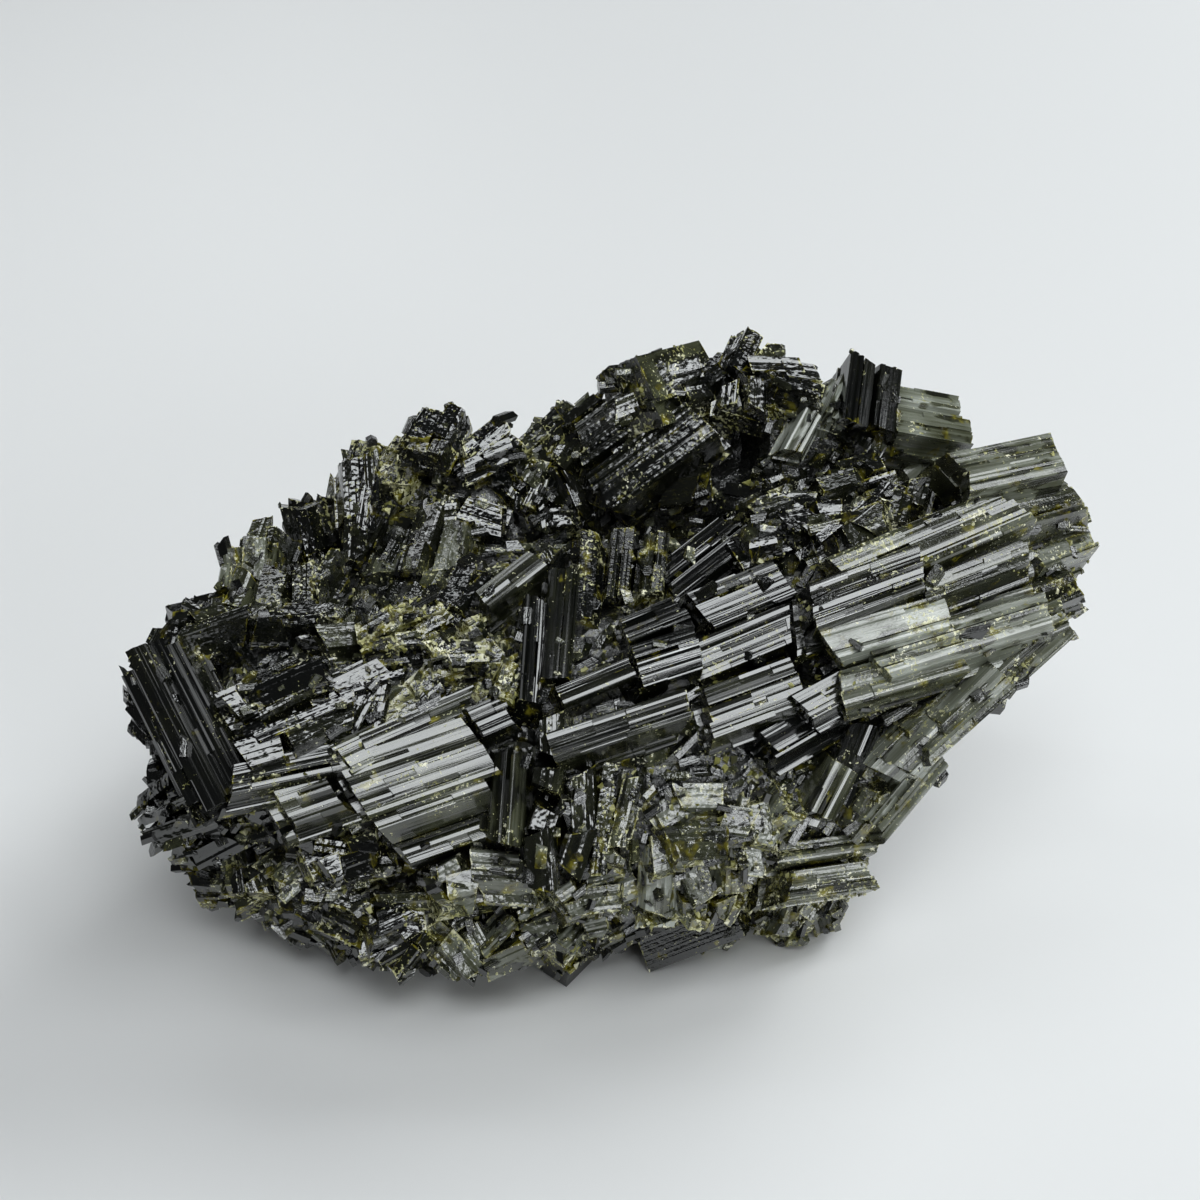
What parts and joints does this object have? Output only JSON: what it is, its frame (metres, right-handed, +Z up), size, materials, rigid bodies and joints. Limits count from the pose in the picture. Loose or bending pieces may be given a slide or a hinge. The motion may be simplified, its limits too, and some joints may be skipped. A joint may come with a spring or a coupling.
{
  "type": "epidote specimen",
  "caption": "Cabinet-sized cluster of dark green striated epidote prisms, grown together in stepped parallel blocks, with pistachio-green grains in the gaps",
  "frame": {"origin": "under the middle of the specimen's box, on the surface that it rests on", "axes": "+X along the specimen's length, from the low blade-like end to the high broken end; +Z up; the show face looks to -Y and up"},
  "size_m": [0.1456, 0.0909, 0.0767],
  "materials": {
    "epidote": "dark green-black natural crystal faces, vitreous and striated along the prisms, with yellow-green grains"
  },
  "bodies": {
    "root": {"epidote_cluster": "epidote"}
  },
  "joints": []
}
